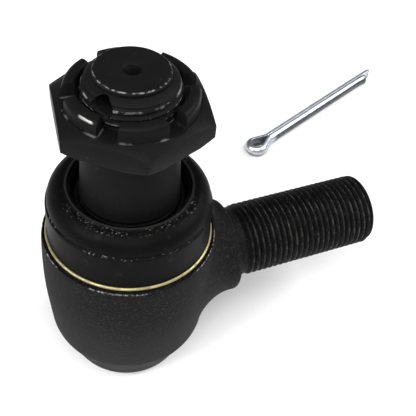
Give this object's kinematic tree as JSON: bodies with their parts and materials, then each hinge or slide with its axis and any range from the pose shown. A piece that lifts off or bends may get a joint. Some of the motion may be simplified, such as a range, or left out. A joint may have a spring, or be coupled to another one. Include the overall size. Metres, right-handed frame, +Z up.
{
  "type": "tie rod end",
  "caption": "Tie rod end: a forged socket with a threaded shank, holding a swinging tapered ball stud under a rubber boot, with a castle nut and a loose split pin.",
  "frame": {"origin": "centre of the flat bottom face of the end cover, on which the part stands", "axes": "+Z up the stud's axis, +X out along the threaded shank, +Y completing a right-handed set"},
  "size_m": [0.1421, 0.1005, 0.0844],
  "materials": {
    "forged_black": "matte charcoal coat over a sandy forging skin, worn bright along the top edge",
    "black_steel": "dark phosphate, satin",
    "cover_black": "matte charcoal coat",
    "boot_rubber": "moulded rubber, slight sheen on the shoulder",
    "yellow_zinc": "pale yellow zinc plate",
    "bright_zinc": "bright zinc plate",
    "spring_steel": "oiled spring steel",
    "seat_plastic": "natural moulded acetal",
    "seal_rubber": "black seal rubber"
  },
  "bodies": {
    "socket": {"housing": "forged_black", "end_cover": "cover_black", "cover_seal": "seal_rubber", "preload_spring": "spring_steel", "pressure_plate": "spring_steel", "upper_seat": "seat_plastic", "boot_clip_ring": "yellow_zinc"},
    "swing_seat": {"lower_seat": "seat_plastic", "dust_boot": "boot_rubber"},
    "swing_lip": {"boot_lip_ring": "black_steel"},
    "stud": {"ball_stud": "black_steel", "castle_nut": "black_steel"},
    "pin": {"split_pin": "bright_zinc"}
  },
  "joints": [
    {"name": "swing_direction", "type": "hinge", "parent": "socket", "child": "swing_seat", "pos_m": [0, 0, 0.02625], "axis": [0, 0, 1], "continuous": true},
    {"name": "stud_swing", "type": "hinge", "parent": "swing_seat", "child": "swing_lip", "pos_m": [0, 0, 0.02625], "axis": [0, 1, 0], "range_deg": [-15, 15], "deforming": ["dust_boot"]},
    {"name": "stud_spin", "type": "hinge", "parent": "swing_lip", "child": "stud", "pos_m": [0, 0, 0.02625], "axis": [0, 0, 1], "continuous": true},
    {"name": "pin_lift", "type": "slide", "parent": "socket", "child": "pin", "axis": [0, 0, 1], "range_m": [0, 0.06]}
  ]
}
